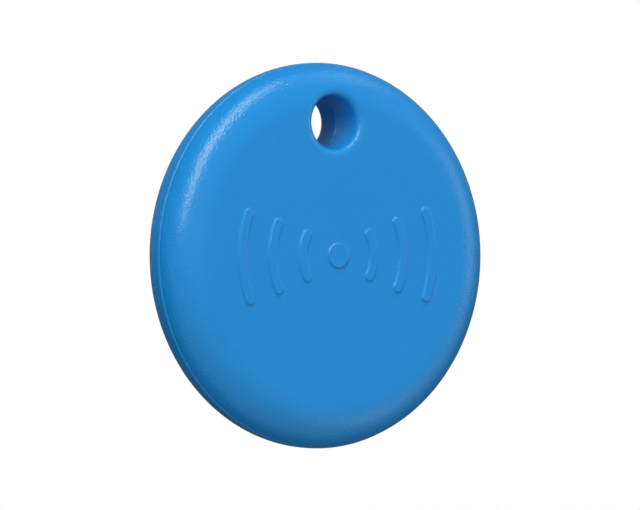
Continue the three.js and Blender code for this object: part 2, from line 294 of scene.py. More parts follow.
def cover_plastic(settings):
    """Satin moulded plastic with the fine grain of a spark-eroded mould."""
    f = Finish("Moulded blue plastic")
    cloud = f.noise(120.0, 2.0)
    speck = f.noise(5200.0, 3.0, 0.6)
    grain = f.noise(4600.0, 1.0, 0.5)
    base = f.shade(tuple(settings.plastic), 0.97 + cloud * 0.04 + (speck - 0.5) * 0.10)
    rough = settings.roughness + (cloud - 0.5) * 0.05 + (speck - 0.5) * 0.12
    bump = f.bump(grain, 40e-6)
    return f.surface(
        base_color=base, roughness=rough.clamp(), normal=bump,
        specular_ior_level=0.35, specular_tint=(0.9, 1.0, 0.75),
    )


def rubber(name, base):
    f = Finish(name)
    mottle = f.noise(900.0, 3.0)
    tint = f.shade(base, 0.8 + mottle * 0.4)
    skin = f.bump(f.noise(5000.0, 3.0), 6e-6)
    return f.surface(base_color=tint, roughness=0.62 + mottle * 0.25, normal=skin)


def solder_mask(settings):
    """Glossy solder mask with the tracks under it, as rounded paths on a fine grid."""
    f = Finish("Solder mask")
    x, _, z = f.axes()
    wobble = f.noise(260.0, 0.0)
    across = (x / 0.0011 + wobble * 3.0).math("FRACT")
    along = (z / 0.0013 + wobble * 4.0).math("FRACT")
    lane = (across - 0.5).math("ABSOLUTE") < 0.16
    lane_up = (along - 0.5).math("ABSOLUTE") < 0.14
    patch = f.noise(150.0, 0.0) > 0.52
    tracks = (lane * patch + lane_up * (1.0 - patch)).clamp()
    plane = f.noise(95.0, 0.0) > 0.60
    copper = (tracks + plane).clamp()
    base = f.blend(copper, tuple(settings.mask), tuple(settings.copper))
    weave = f.noise(2600.0, 2.0)
    base = f.shade(base, 0.9 + weave * 0.2)
    height = copper * 0.8 + weave * 0.1
    return f.surface(base_color=base, roughness=0.24 + weave * 0.12, normal=f.bump(height, 25e-6))


def glass_weave_edge(settings):
    f = Finish("Board core")
    _, y, _ = f.axes()
    layers = (y / 0.00012).math("FRACT") > 0.5
    base = f.shade(tuple(settings.core), 0.8 + layers * 0.25 + f.noise(4000.0) * 0.15)
    return f.surface(base_color=base, roughness=0.7 + f.noise(3000.0) * 0.2)


def metal(name, base, roughness, lines=None):
    """Bare or plated metal, plain or with fine turning lines round a point (x, z)."""
    f = Finish(name)
    fine = f.noise(2500.0, 1.0)
    worn = f.noise(300.0, 3.0)
    if lines is None:
        height = fine
    else:
        cx, cz = lines
        x, _, z = f.axes()
        dx, dz = x - cx, z - cz
        radius = (dx * dx + dz * dz).math("SQRT")
        height = (radius * 42000.0).math("SINE") * 0.25 + fine
    tint = f.shade(base, 0.9 + worn * 0.2)
    rough = (roughness + (worn - 0.5) * 0.14 + (fine - 0.5) * 0.08).clamp()
    return f.surface(base_color=tint, roughness=rough, metallic=1.0, normal=f.bump(height, 0.6e-6))


def mineral(name, base, roughness, contrast=0.25, grain=3000.0):
    """Ceramic, ferrite, moulding compound or pressed powder: a fine granular solid."""
    f = Finish(name)
    speck = f.noise(grain, 4.0, 0.6)
    cloud = f.noise(500.0, 2.0)
    tint = f.shade(base, 1.0 - contrast / 2 + speck * contrast + (cloud - 0.5) * 0.1)
    return f.surface(
        base_color=tint, roughness=(roughness + (speck - 0.5) * 0.2).clamp(), normal=f.bump(speck, 6e-6)
    )


FINISHES = {}


def finish(key):
    """The shared material of a record slot, made when it is first asked for."""
    if key not in FINISHES:
        scene = bpy.context.scene
        cover, board, cell = scene.tag_cover, scene.tag_board, scene.tag_cell
        steel = tuple(cell.steel)
        middle = (0.0, (CELL_Y - HOLE_Y) * MM)
        disc = (0.0, (SOUNDER_Y - HOLE_Y) * MM)
        makers = {
            "cover_blue": lambda: cover_plastic(cover),
            "seal_rubber": lambda: rubber("Seal rubber", (0.012, 0.018, 0.028)),
            "board_green": lambda: solder_mask(board),
            "board_core": lambda: glass_weave_edge(board),
            "cradle_black": lambda: mineral("Black nylon", (0.012, 0.012, 0.014), 0.45, 0.3, 4000.0),
            "cell_steel": lambda: metal("Nickel plate", steel, 0.24, middle),
            "part_steel": lambda: metal("Bright plate", steel, 0.3),
            "tin": lambda: metal("Tinned copper", (0.62, 0.61, 0.58), 0.34),
            "contact_gold": lambda: metal("Gold plate", (0.83, 0.60, 0.22), 0.26),
            "sounder_brass": lambda: metal("Brass sheet", (0.72, 0.50, 0.20), 0.3, disc),
            "sounder_silver": lambda: metal("Fired silver", (0.80, 0.79, 0.75), 0.45),
            "sounder_ceramic": lambda: mineral("Sounder ceramic", (0.68, 0.65, 0.56), 0.5),
            "antenna_ceramic": lambda: mineral("Antenna ceramic", (0.74, 0.72, 0.66), 0.4),
            "adhesive_black": lambda: rubber("Cured adhesive", (0.016, 0.016, 0.018)),
            "chip_black": lambda: mineral("Moulding compound", (0.011, 0.011, 0.012), 0.42, 0.35, 6000.0),
            "chip_mark": lambda: mineral("Laser mark", (0.20, 0.20, 0.19), 0.6),
            "ferrite_grey": lambda: mineral("Ferrite", (0.035, 0.037, 0.04), 0.6, 0.4),
            "capacitor_tan": lambda: mineral("Capacitor ceramic", (0.36, 0.22, 0.11), 0.38),
            "capacitor_amber": lambda: mineral("Amber epoxy", (0.60, 0.27, 0.02), 0.3, 0.12),
            "capacitor_band": lambda: mineral("Dark band", (0.10, 0.035, 0.01), 0.4),
            "separator_white": lambda: mineral("Separator felt", (0.75, 0.75, 0.72), 0.9, 0.2, 1800.0),
            "cathode_black": lambda: mineral("Pressed powder", (0.012, 0.012, 0.012), 0.9, 0.6, 2500.0),
            "anode_lithium": lambda: metal("Soft white metal", (0.62, 0.63, 0.65), 0.5),
        }
        FINISHES[key] = makers[key]()
    return FINISHES[key]


# ---- meshes ----------------------------------------------------------------

CELL_Y, SOUNDER_Y = -2.0, -2.5  # middles of the coin cell and of the sounder, from the disc's centre


def upright(points):
    """Points of the disc's frame, in millimetres, as points of the tag's frame, in metres."""
    p = np.asarray(points, float).reshape(-1, 3)
    return np.stack([p[:, 0], -p[:, 2], p[:, 1] - HOLE_Y], 1) * MM


def mesh_of(name, points, faces):
    mesh = bpy.data.meshes.new(name)
    mesh.from_pydata([tuple(p) for p in points], [], faces)
    return mesh


def tidy(mesh, crisp=40.0, merge=1e-7):
    """Merges doubled points, turns all faces outwards and shades it smooth but for its crisp edges."""
    bm = bmesh.new()
    bm.from_mesh(mesh)
    bmesh.ops.remove_doubles(bm, verts=bm.verts, dist=merge)
    bmesh.ops.recalc_face_normals(bm, faces=bm.faces)
    for face in bm.faces:
        face.smooth = True
    bm.to_mesh(mesh)
    bm.free()
    mesh.set_sharp_from_angle(angle=math.radians(crisp))
    return mesh


def piece(name, mesh, body, slot, materials=None, replaces=()):
    """A finished piece in the scene: it gets its finishes, rides on its body and hides the CAD parts it takes
    the place of.
    """
    obj = bpy.data.objects.new(name, mesh)
    bpy.context.scene.collection.objects.link(obj)
    for key in materials or [slot]:
        mesh.materials.append(finish(key))
    if replaces:
        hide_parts(*replaces)
    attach(obj, body)
    return obj


def baked(obj):
    """The object's mesh with its modifiers applied; the object is removed."""
    bpy.context.view_layer.update()
    graph = bpy.context.evaluated_depsgraph_get()
    mesh = bpy.data.meshes.new_from_object(obj.evaluated_get(graph))
    bpy.data.objects.remove(obj)
    return mesh


def loose(name, mesh):
    obj = bpy.data.objects.new(name, mesh)
    bpy.context.scene.collection.objects.link(obj)
    return obj


def cut(mesh, cutter):
    """The mesh less another closed mesh."""
    body, tool = loose("cut_body", mesh), loose("cut_tool", cutter)
    modifier = body.modifiers.new("cut", "BOOLEAN")
    modifier.operation = "DIFFERENCE"
    modifier.solver = "EXACT"
    modifier.object = tool
    result = baked(body)
    bpy.data.objects.remove(tool)
    return result


class Skin:
    """Points and faces of one closed mesh, built from loops round the disc's centre or round the hole."""

    def __init__(self):
        self.points = np.zeros((0, 3))
        self.faces = []

    def add(self, points):
        start = len(self.points)
        self.points = np.vstack([self.points, points])
        return np.arange(start, len(self.points))

    def band(self, first, second):
        """Quads between two loops of as many points."""
        corners = (first, np.roll(first, -1), np.roll(second, -1), second)
        self.faces += [tuple(int(v) for v in face) for face in zip(*corners)]

    def bands(self, start, loops):
        """A run of bands from a loop that is there already; gives the last loop."""
        last = start
        for points in loops:
            loop = self.add(points)
            self.band(last, loop)
            last = loop
        return last

    def sheet(self, outer, hole=None, steps=(), scatter=None):
        """Triangles between an outer loop and a hole, through closed lines of points and scattered ones.

        Every point carries its own height, and no two lines may cross as seen along Z.
        """
        loops = [outer] + ([hole] if hole is not None else []) + [self.add(s) for s in steps]
        ids = np.concatenate(loops + ([self.add(scatter)] if scatter is not None else []))
        at = {int(v): k for k, v in enumerate(ids)}
        edges = [(at[int(a)], at[int(b)]) for loop in loops for a, b in zip(loop, np.roll(loop, -1))]
        flat = [Vector((self.points[i][0], self.points[i][1])) for i in ids]
        _, _, faces, origins, _, _ = delaunay_2d_cdt(flat, edges, [], 0, 1e-7)
        if any(not o for o in origins):
            raise ValueError("two lines of a sheet cross")
        back = [int(ids[o[0]]) for o in origins]
        inside = set() if hole is None else {int(i) for i in hole}
        for face in faces:
            corners = [back[i] for i in face]
            if not all(c in inside for c in corners):
                self.faces.append(tuple(corners))

    def mesh(self, name):
        return mesh_of(name, upright(self.points), self.faces)


def ring(r, z, n=RIM_N):
    a = np.linspace(0, 2 * math.pi, n, endpoint=False)
    height = np.full(n, float(z))
    return np.stack([r * np.cos(a), r * np.sin(a), height], 1)


def hole_ring(s, z, within=None):
    """A loop round the hole's middle, kept inside a circle about the disc's centre.

    Z is a number, or a function of the distance from the disc's centre.
    """
    a = np.linspace(0, 2 * math.pi, HOLE_N, endpoint=False)
    reach = np.full(HOLE_N, float(s))
    if within:
        up = HOLE_Y * np.sin(a)
        reach = np.minimum(reach, np.sqrt(up**2 - HOLE_Y**2 + within**2) - up)
    x, y = reach * np.cos(a), HOLE_Y + reach * np.sin(a)
    height = z(np.hypot(x, y)) if callable(z) else np.full(HOLE_N, float(z))
    return np.stack([x, y, height], 1)


def arc(r, z, radial, axial, start, end, steps):
    """Points (r, z) on an ellipse, from one angle to another in degrees."""
    a = np.radians(np.linspace(start, end, steps + 1))
    return [(r + radial * math.cos(t), z + axial * math.sin(t)) for t in a]


def dome(flat, radial, axial):
    """Height of a face that is flat to a radius and then rounds over as an ellipse."""

    def height(r):
        t = np.clip((np.asarray(r, float) - flat) / radial, 0, 0.999999)
        return axial * np.sqrt(1 - t * t)

    return height


def mouth_loops(surface, hole, mouth, sign, steps=10):
    """Loops of the hole's rounded mouth, from its wall out to the face, following the face's shape."""
    loops = []
    for t in np.radians(np.linspace(0, 90, steps + 1)):
        drop = mouth * (1 - math.sin(t))
        s = hole + mouth * (1 - math.cos(t))
        loops.append(hole_ring(s, lambda r, drop=drop: sign * (surface(r) - drop)))
    return loops


def face_rings(surface, flat, radial, limit, sign, clear):
    """Rings of points over a face inside a radius, left out near the hole."""
    outer = math.degrees(math.acos((limit - flat) / radial))
    radii = [flat + radial * math.cos(math.radians(a)) for a in np.linspace(outer, 90, 13)[1:]]
    rings = [ring(r, sign * float(surface(r))) for r in radii]
    rings += [ring(r, sign * HALF, RIM_N // 2) for r in (flat - 0.2, flat - 0.6, flat - 1.2, flat - 2.2)]
    return clear_of_hole(np.vstack(rings), clear)


def bow(radius, half_height, side, stroke, spread):
    """Outline of one bow of the raised mark: a piece of a ring with round ends, grown by spread."""
    half = stroke / 2
    reach = math.asin((half_height - half) / radius)
    n = max(8, round(2 * reach * radius / 0.22))
    along, cap = np.linspace(-reach, reach, n + 1), np.linspace(0, math.pi, 11)[1:-1]
    end = np.array([radius * math.cos(reach), radius * math.sin(reach)])
    start = end * (1, -1)
    grown = half + spread

    def on(centre, a):
        return np.stack([centre[0] + grown * np.cos(a), centre[1] + grown * np.sin(a)], 1)

    outline = np.vstack([
        np.stack([(radius + grown) * np.cos(along), (radius + grown) * np.sin(along)], 1),
        on(end, reach + cap),
        np.stack([(radius - grown) * np.cos(along[::-1]), (radius - grown) * np.sin(along[::-1])], 1),
        on(start, math.pi - reach + cap),
    ])
    return outline * (side, 1)


MARK_RADII = (4.3, 7.9, 11.5)
MARK_HALF_HEIGHTS = (2.6, 3.8, 4.8)
MARK_DOT = 1.25
# how far outside the mark's edge, and the share of its height reached there
MARK_EDGE = (
    (0.26, 0.0), (0.15, 0.0), (0.09, 0.05), (0.05, 0.2), (0.01, 0.5),
    (-0.035, 0.8), (-0.085, 0.95), (-0.15, 1.0), (-0.26, 1.0),
)


def mark_lines(stroke, relief):
    """Level lines of the raised mark: a dot between three pairs of bows."""
    lines = []
    for spread, part in MARK_EDGE:
        z = HALF + relief * part
        dot = ring(MARK_DOT + spread, z, 48)
        lines.append(dot)
        for radius, half_height in zip(MARK_RADII, MARK_HALF_HEIGHTS):
            for side in (-1, 1):
                flat = bow(radius, half_height, side, stroke, spread)
                lines.append(np.column_stack([flat, np.full(len(flat), z)]))
    return lines


def spread_grid(limit, step, z, avoid):
    """A grid of points inside a radius that keeps off other lines."""
    n = int(limit / step)
    xs = np.arange(-n, n + 1) * step
    grid = np.stack(np.meshgrid(xs, xs), -1).reshape(-1, 2)
    grid = grid[np.hypot(grid[:, 0], grid[:, 1]) < limit]
    near = np.vstack([a[:, :2] for a in avoid])
    gaps = np.array([np.min(np.hypot(*(near - g).T)) for g in grid])
    grid = grid[gaps > step * 0.4]
    return np.column_stack([grid, np.full(len(grid), z)])


SHEET_R = 17.7  # inside this radius a face is a sheet round the hole; outside it is rings
CLEAR_OF_HOLE = 0.18
FRONT_ROOF = 1.9  # height of the ledge that the front cover rests its seal on
SKIRT_R = 18.2  # inside of the front cover's edge
TUBE_R, TUBE_END = 3.3, -0.25  # the front cover's tube round the hole
LIP_R, LIP_TOP, BACK_WALL_R = 18.08, 1.45, 17.26  # the back cover's lip, inside the seam
FLOOR_R, FLOOR_ROUND, FLOOR_EDGE = 16.4, 0.86, -1.8  # where the back cover's floor curves up into its wall
COLLAR_SEAT, COLLAR_R, COLLAR_TOP = -0.39, 4.0, 1.0  # the back cover's collar round the hole
SLOT_SIZE, SLOT_Z, SLOT_ANGLE = (1.8, 5.0, 1.04), 0.74, -32


def coin_slot():
    """The slot in the rim that a coin or a nail opens the covers with, as a closed tool."""
    bm = bmesh.new()
    bmesh.ops.create_cube(bm, size=1.0)
    bmesh.ops.scale(bm, vec=SLOT_SIZE, verts=bm.verts)
    bmesh.ops.bevel(
        bm, geom=bm.edges[:], offset=0.2, segments=3, profile=0.5, affect="EDGES", clamp_overlap=True
    )
    bmesh.ops.translate(bm, vec=(DISC_R, 0, SLOT_Z), verts=bm.verts)
    turn = Matrix.Rotation(math.radians(SLOT_ANGLE), 3, "Z")
    bmesh.ops.rotate(bm, cent=(0, 0, 0), matrix=turn, verts=bm.verts)
    points = upright([v.co[:] for v in bm.verts])
    faces = [[v.index for v in f.verts] for f in bm.faces]
    bm.free()
    return tidy(mesh_of("coin_slot", points, faces))


def clear_of_hole(points, reach):
    return points[np.hypot(points[:, 0], points[:, 1] - HOLE_Y) > reach]


def front_tube(hole):
    """Loops of the tube round the hole, down its bore and up its outside to the ledge round it."""
    foot = TUBE_END + 0.05
    tube = [
        (hole, 1.5), (hole, foot), (hole + 0.015, TUBE_END + 0.015), (hole + 0.05, TUBE_END),
        (TUBE_R - 0.05, TUBE_END), (TUBE_R - 0.015, TUBE_END + 0.015), (TUBE_R, foot),
        (TUBE_R + 0.02, 1.56), (TUBE_R + 0.06, 1.6), (4.55, 1.6), (4.6, 1.65),
    ]
    return [hole_ring(s, z, 17.28) for s, z in tube]


def back_floor(r):
    """Height of the back cover's floor where it curves up into the wall, by the distance from the middle."""
    out = np.clip(r - FLOOR_R, 0, FLOOR_ROUND)
    return FLOOR_EDGE - np.sqrt(np.clip(FLOOR_ROUND**2 - out**2, 0, None)) - 0.04


def back_collar(hole):
    """Loops of the collar round the hole, down from the seat of the front cover's tube to the floor."""
    round_over = arc(hole + 0.25, COLLAR_SEAT - 0.25, 0.25, 0.25, 180, 90, 5)
    collar = [(hole, -1.5)] + round_over + [
        (3.4, COLLAR_SEAT), (3.4, COLLAR_TOP - 0.05), (3.44, COLLAR_TOP),
        (COLLAR_R - 0.05, COLLAR_TOP), (COLLAR_R, COLLAR_TOP - 0.05),
    ]
    return [hole_ring(s, z, 17.16) for s, z in collar] + [hole_ring(COLLAR_R + 0.04, back_floor, 17.2)]


def front_shell(c):
    """The front cover as one closed skin."""
    flat, hole, mouth, wall = c.front_flat / MM, c.hole / MM, c.mouth / MM, c.wall / MM
    edge, soft = (c.seam + c.gap / 2) / MM, c.front_break / MM
    radial = DISC_R - flat
    surface = dome(flat, radial, HALF)
    roof = dome(flat, radial - wall, HALF - wall)
    skin = Skin()
    face = skin.add(ring(SHEET_R, float(surface(SHEET_R))))
    mouth_edge, *mouth_rest = mouth_loops(surface, hole, mouth, 1)
    throat = skin.add(mouth_edge)
    around = [hole_ring(hole + mouth + d, surface) for d in (0.22, 0.5)]
    lines = mark_lines(c.stroke / MM, c.relief / MM)
    rings = face_rings(surface, flat, radial, SHEET_R, 1, hole + mouth + 0.5 + CLEAR_OF_HOLE)
    filler = spread_grid(flat - 2.6, 1.6, HALF, lines + mouth_rest + around)
    skin.sheet(face, throat, mouth_rest + around + lines, np.vstack([rings, filler]))
    low = math.degrees(math.asin((edge + soft) / HALF))
    high = math.degrees(math.acos((SHEET_R - flat) / radial))
    rim = arc(flat, 0, radial, HALF, high, low, 14)[1:]
    tip = rim[-1][0]
    seam = arc(tip - soft, edge + soft, soft, soft, 0, -90, 3)[1:]
    inner = [(SKIRT_R + 0.05, edge), (SKIRT_R, edge + 0.05), (18.18, FRONT_ROOF - 0.04), (18.14, FRONT_ROOF)]
    ledge = float(flat + (radial - wall) * math.sqrt(1 - (FRONT_ROOF / (HALF - wall)) ** 2))
    inside = skin.bands(face, [ring(r, z) for r, z in rim + seam + inner + [(ledge, FRONT_ROOF)]])
    boss = skin.bands(throat, front_tube(hole) + [hole_ring(4.64, roof, 17.34)])
    under = arc(flat, 0, radial - wall, HALF - wall, 50, 90, 7)
    rings = [ring(r, z) for r, z in under]
    rings += [ring(flat - d, HALF - wall, 64) for d in (0.5, 2, 6)]
    skin.sheet(inside, boss, (), clear_of_hole(np.vstack(rings), 4.9))
    return cut(tidy(skin.mesh("front_shell")), coin_slot())


def back_shell(c):
    """The back cover as one closed skin."""
    flat, hole, mouth = c.back_flat / MM, c.hole / MM, c.mouth / MM
    edge, soft = (c.seam - c.gap / 2) / MM, c.back_break / MM
    radial, floor_z = DISC_R - flat, c.wall / MM - HALF
    surface = dome(flat, radial, HALF)
    skin = Skin()
    face = skin.add(ring(SHEET_R, -float(surface(SHEET_R))))
    mouth_edge, *mouth_rest = mouth_loops(surface, hole, mouth, -1)
    throat = skin.add(mouth_edge)
    around = [hole_ring(hole + mouth + d, lambda r: -surface(r)) for d in (0.22, 0.5)]
    rings = face_rings(surface, flat, radial, SHEET_R, -1, hole + mouth + 0.5 + CLEAR_OF_HOLE)
    filler = spread_grid(flat - 2.6, 1.6, -HALF, mouth_rest + around)
    skin.sheet(face, throat, mouth_rest + around, np.vstack([rings, filler]))
    high = math.degrees(math.acos((SHEET_R - flat) / radial))
    rim = arc(flat, 0, radial, HALF, -high, 0, 14)[1:] + [(DISC_R, edge - soft)]
    seam = arc(DISC_R - soft, edge - soft, soft, soft, 0, 90, 6)[1:]
    lip = [
        (LIP_R + 0.06, edge), (LIP_R + 0.02, edge + 0.04), (LIP_R, LIP_TOP - 0.07), (LIP_R - 0.07, LIP_TOP),
        (17.39, LIP_TOP), (17.32, LIP_TOP - 0.07), (BACK_WALL_R, FLOOR_EDGE),
    ]
    inside = skin.bands(face, [ring(r, z) for r, z in rim + seam + lip])
    foot = skin.bands(throat, back_collar(hole))
    corner = [ring(r, float(back_floor(r))) for r in (17.2, 17.05, 16.8, FLOOR_R)]
    floor = np.vstack(corner + [ring(r, floor_z, 64) for r in (15.5, 13, 8)])
    skin.sheet(inside, foot, (), clear_of_hole(floor, 4.3))
    return cut(tidy(skin.mesh("back_shell")), coin_slot())


def filleted(outline, radius, steps=3):
    """An outline of (r, z) points with its corners off the axis rounded."""
    points = [np.array(p, float) for p in outline]
    made = []
    closed = outline[0][0] > 0
    n = len(points)
    for i, p in enumerate(points):
        if not closed and i in (0, n - 1):
            made.append(tuple(p))
            continue
        before, after = points[i - 1] - p, points[(i + 1) % n] - p
        la, lb = np.linalg.norm(before), np.linalg.norm(after)
        u, v = before / la, after / lb
        cosine = float(np.clip(u @ v, -1, 1))
        half = math.acos(cosine) / 2
        if half > math.radians(80):
            made.append(tuple(p))
            continue
        back = min(radius / math.tan(half), la * 0.45, lb * 0.45)
        start, end = p + u * back, p + v * back
        for t in np.linspace(0, 1, steps + 1):
            q = (1 - t) ** 2 * start + 2 * t * (1 - t) * p + t * t * end
            made.append(tuple(q))
    return made


def turned(name, outline, at=(0.0, 0.0), segments=96, soft=0.05):
    """A turned piece round an axis along Z. Its outline starts and ends on the axis, or is closed."""
    profile = filleted(outline, soft) if soft else outline
    skin = Skin()
    a = np.linspace(0, 2 * math.pi, segments, endpoint=False)
    loops = []
    for r, z in profile:
        if r <= 1e-9:
            loops.append(skin.add(np.array([[at[0], at[1], z]])))
        else:
            around = np.stack([at[0] + r * np.cos(a), at[1] + r * np.sin(a), np.full(segments, z)], 1)
            loops.append(skin.add(around))
    pairs = list(zip(loops, loops[1:])) + ([(loops[-1], loops[0])] if outline[0][0] > 0 else [])
    for first, second in pairs:
        if len(first) == 1 or len(second) == 1:
            tip, edge = (first, second) if len(first) == 1 else (second, first)
            skin.faces += [(int(tip[0]), int(p), int(q)) for p, q in zip(edge, np.roll(edge, -1))]
        else:
            skin.band(first, second)
    return tidy(skin.mesh(name))


def box_outline(inner, outer, low, high):
    return [(inner, low), (outer, low), (outer, high), (inner, high)]


def bevel_edges(bm, edges, offset):
    bmesh.ops.bevel(
        bm, geom=edges, offset=offset, segments=2, profile=0.6, affect="EDGES", clamp_overlap=True, material=-1
    )


def refined(node, soft=0.03, crisp=35.0):
    """A copy of a CAD node's mesh: flat faces made whole, edges bevelled by so many millimetres."""
    mesh = frame["nodes"][node].data.copy()
    mesh.materials.clear()
    bm = bmesh.new()
    bm.from_mesh(mesh)
    bmesh.ops.remove_doubles(bm, verts=bm.verts, dist=1e-7)
    bmesh.ops.dissolve_limit(bm, angle_limit=math.radians(1), verts=bm.verts, edges=bm.edges)
    edges = [e for e in bm.edges if len(e.link_faces) == 2 and e.calc_face_angle() > math.radians(crisp)]
    bevel_edges(bm, edges, soft * MM)
    bmesh.ops.recalc_face_normals(bm, faces=bm.faces)
    for face in bm.faces:
        face.smooth = True
        face.material_index = 0
    bm.to_mesh(mesh)
    bm.free()
    mesh.set_sharp_from_angle(angle=math.radians(40))
    obj = loose(node + "_copy", mesh)
    obj.modifiers.new("even", "WEIGHTED_NORMAL").keep_sharp = True
    return baked(obj)


# ---- repeated things -------------------------------------------------------


def point_tree(name, shape_kind, inputs):
    """Geometry Nodes: one shape on every point, made real and painted.

    Gives the tree, its inputs, the shape and the instances, for the links of their sizes.
    """
    tree = bpy.data.node_groups.new(name, "GeometryNodeTree")
    sockets = {"Geometry": "NodeSocketGeometry", **inputs, "Material": "NodeSocketMaterial"}
    for key, kind in sockets.items():
        tree.interface.new_socket(key, in_out="INPUT", socket_type=kind)
    tree.interface.new_socket("Geometry", in_out="OUTPUT", socket_type="NodeSocketGeometry")
    given, shape, instance, realize, paint, outputs = (tree.nodes.new(k) for k in (
        "NodeGroupInput", shape_kind, "GeometryNodeInstanceOnPoints", "GeometryNodeRealizeInstances",
        "GeometryNodeSetMaterial", "NodeGroupOutput",
    ))
    link = tree.links.new
    link(given.outputs["Geometry"], instance.inputs["Points"])
    link(shape.outputs[0], instance.inputs["Instance"])
    link(instance.outputs[0], realize.inputs[0])
    link(realize.outputs[0], paint.inputs[0])
    link(given.outputs["Material"], paint.inputs["Material"])
    link(paint.outputs[0], outputs.inputs[0])
    return tree, given, shape, instance


def blocks_tree():
    """Geometry Nodes: a small block on every point, sized and turned by the points' own attributes."""
    name = "Tag blocks on points"
    if name in bpy.data.node_groups:
        return bpy.data.node_groups[name]
    tree, _, _, instance = point_tree(name, "GeometryNodeMeshCube", {})
    size, turn = (tree.nodes.new("GeometryNodeInputNamedAttribute") for _ in range(2))
    size.data_type, turn.data_type = "FLOAT_VECTOR", "FLOAT"
    size.inputs["Name"].default_value, turn.inputs["Name"].default_value = "size", "turn"
    angles = tree.nodes.new("ShaderNodeCombineXYZ")
    tree.links.new(turn.outputs[0], angles.inputs["Z"])
    tree.links.new(size.outputs[0], instance.inputs["Scale"])
    tree.links.new(angles.outputs[0], instance.inputs["Rotation"])
    return tree


def studs_tree():
    """Geometry Nodes: a round stud on every point, of one radius and height."""
    name = "Tag studs on points"
    if name in bpy.data.node_groups:
        return bpy.data.node_groups[name]
    sizes = {"Radius": "NodeSocketFloat", "Height": "NodeSocketFloat", "Sides": "NodeSocketInt"}
    tree, given, stud, _ = point_tree(name, "GeometryNodeMeshCylinder", sizes)
    for key, slot in (("Radius", "Radius"), ("Height", "Depth"), ("Sides", "Vertices")):
        tree.links.new(given.outputs[key], stud.inputs[slot])
    return tree


def grown_on_points(name, points, tree, values, attributes=None, soft=0.0):
    """Runs a tree on bare points of the disc's frame, in millimetres, and gives the upright mesh."""
    mesh = mesh_of(name, points, [])
    for key, (kind, rows) in (attributes or {}).items():
        made = mesh.attributes.new(key, kind, "POINT")
        field = "vector" if kind == "FLOAT_VECTOR" else "value"
        made.data.foreach_set(field, np.asarray(rows, np.float32).ravel())
    obj = loose(name, mesh)
    modifier = obj.modifiers.new("grow", "NODES")
    modifier.node_group = tree
    for item in tree.interface.items_tree:
        if item.in_out == "INPUT" and item.name in values:
            modifier[item.identifier] = values[item.name]
    result = baked(obj)
    if soft:
        bm = bmesh.new()
        bm.from_mesh(result)
        edges = [e for e in bm.edges if e.calc_face_angle(0.0) > math.radians(50)]
        bevel_edges(bm, edges, soft)
        bm.to_mesh(result)
        bm.free()
    co = np.zeros(len(result.vertices) * 3)
    result.vertices.foreach_get("co", co)
    result.vertices.foreach_set("co", upright(co).ravel())
    result.materials.clear()
    return tidy(result)


def blocks(name, rows, body, slot, key, soft=0.03, replaces=()):
    """Small blocks, each (x, y, z, width, depth, height, turn in degrees), as one piece."""
    rows = np.asarray(rows, float)
    attributes = {"size": ("FLOAT_VECTOR", rows[:, 3:6]), "turn": ("FLOAT", np.radians(rows[:, 6]))}
    mesh = grown_on_points(name, rows[:, :3], blocks_tree(), {}, attributes, soft)
    return piece(name, mesh, body, slot, [key], replaces)


def centre_of(node):
    """A node's box in the disc's frame, in millimetres: its middle, its lowest Z and its highest Z."""
    low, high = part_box(node)
    middle = (low + high) / 2 / MM
    return middle.x, middle.z + HOLE_Y, -high.y / MM, -low.y / MM


# ---- operators -------------------------------------------------------------


class TAG_OT_front_cover(bpy.types.Operator):
    """Front cover with its raised mark, hole mouth and tube, and the plunger over the switch"""

    bl_idname = "tag.front_cover"
    bl_label = "Front Cover"

    def execute(self, context):
        c = context.scene.tag_cover
        mesh = tidy(front_shell(c), 32)
        mesh.materials.clear()
        piece("front_shell", mesh, "front_half", "cover_blue", replaces=["front_cover"])
        x, y, _, high = centre_of("switch_button")
        end, root = high + 0.02, 2.75
        outline = [(0, end), (0.95, end), (1.05, root), (0, root)]
        rod = turned("face_plunger", outline, (x, y), 48, 0.12)
        piece("face_plunger", rod, "front_half", "cover_blue")
        return {"FINISHED"}


POST_R = 15.2
POST_ANGLES = (35, 145, 215, 325)
PRESS = 0.12  # travel of the front cover, and of the button under it


def on_circle(r, degrees):
    return r * math.cos(math.radians(degrees)), r * math.sin(math.radians(degrees))


class TAG_OT_back_cover(bpy.types.Operator):
    """Back cover with its lip, the hole's collar and the posts that hold the board"""

    bl_idname = "tag.back_cover"
    bl_label = "Back Cover"

    def execute(self, context):
        mesh = tidy(back_shell(context.scene.tag_cover), 32)
        mesh.materials.clear()
        piece("back_shell", mesh, "back_half", "cover_blue", replaces=["back_cover"])
        outline = [
            (0, -2.8), (1.1, -2.8), (1.1, -1.82), (0.65, -1.82), (0.65, -1.15),
            (1.05, -1.12), (0.95, -0.95), (0.55, -0.8), (0, -0.78),
        ]
        for number, degrees in enumerate(POST_ANGLES, 1):
            post = turned(f"board_post_{number}", outline, on_circle(POST_R, degrees), 40, 0.06)
            piece(f"board_post_{number}", post, "back_half", "cover_blue")
        return {"FINISHED"}


class TAG_OT_seals(bpy.types.Operator):
    """Soft seals between the covers, round the rim and round the hole"""

    bl_idname = "tag.seals"
    bl_label = "Seals"

    def execute(self, context):
        for name, node, inner, outer, at in (
            ("rim_gasket", "rim_seal", 17.38, 18.02, (0, 0)),
            ("hole_gasket", "hole_seal", 3.44, 3.92, (0, HOLE_Y)),
        ):
            _, _, low, high = centre_of(node)
            low, high = low + 0.002, high - 0.002
            waist = (low + high) / 2
            outline = [
                (inner, low), (outer, low), (outer - 0.05, waist),
                (outer, high), (inner, high), (inner + 0.05, waist),
            ]
            mesh = turned(name, outline, at, 192, 0.09)
            obj = piece(name, mesh, "cover_seals", "seal_rubber", replaces=[node])
            keep = (high - low - PRESS) / (high - low)
            -low * MM
            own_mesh(obj)
        return {"FINISHED"}


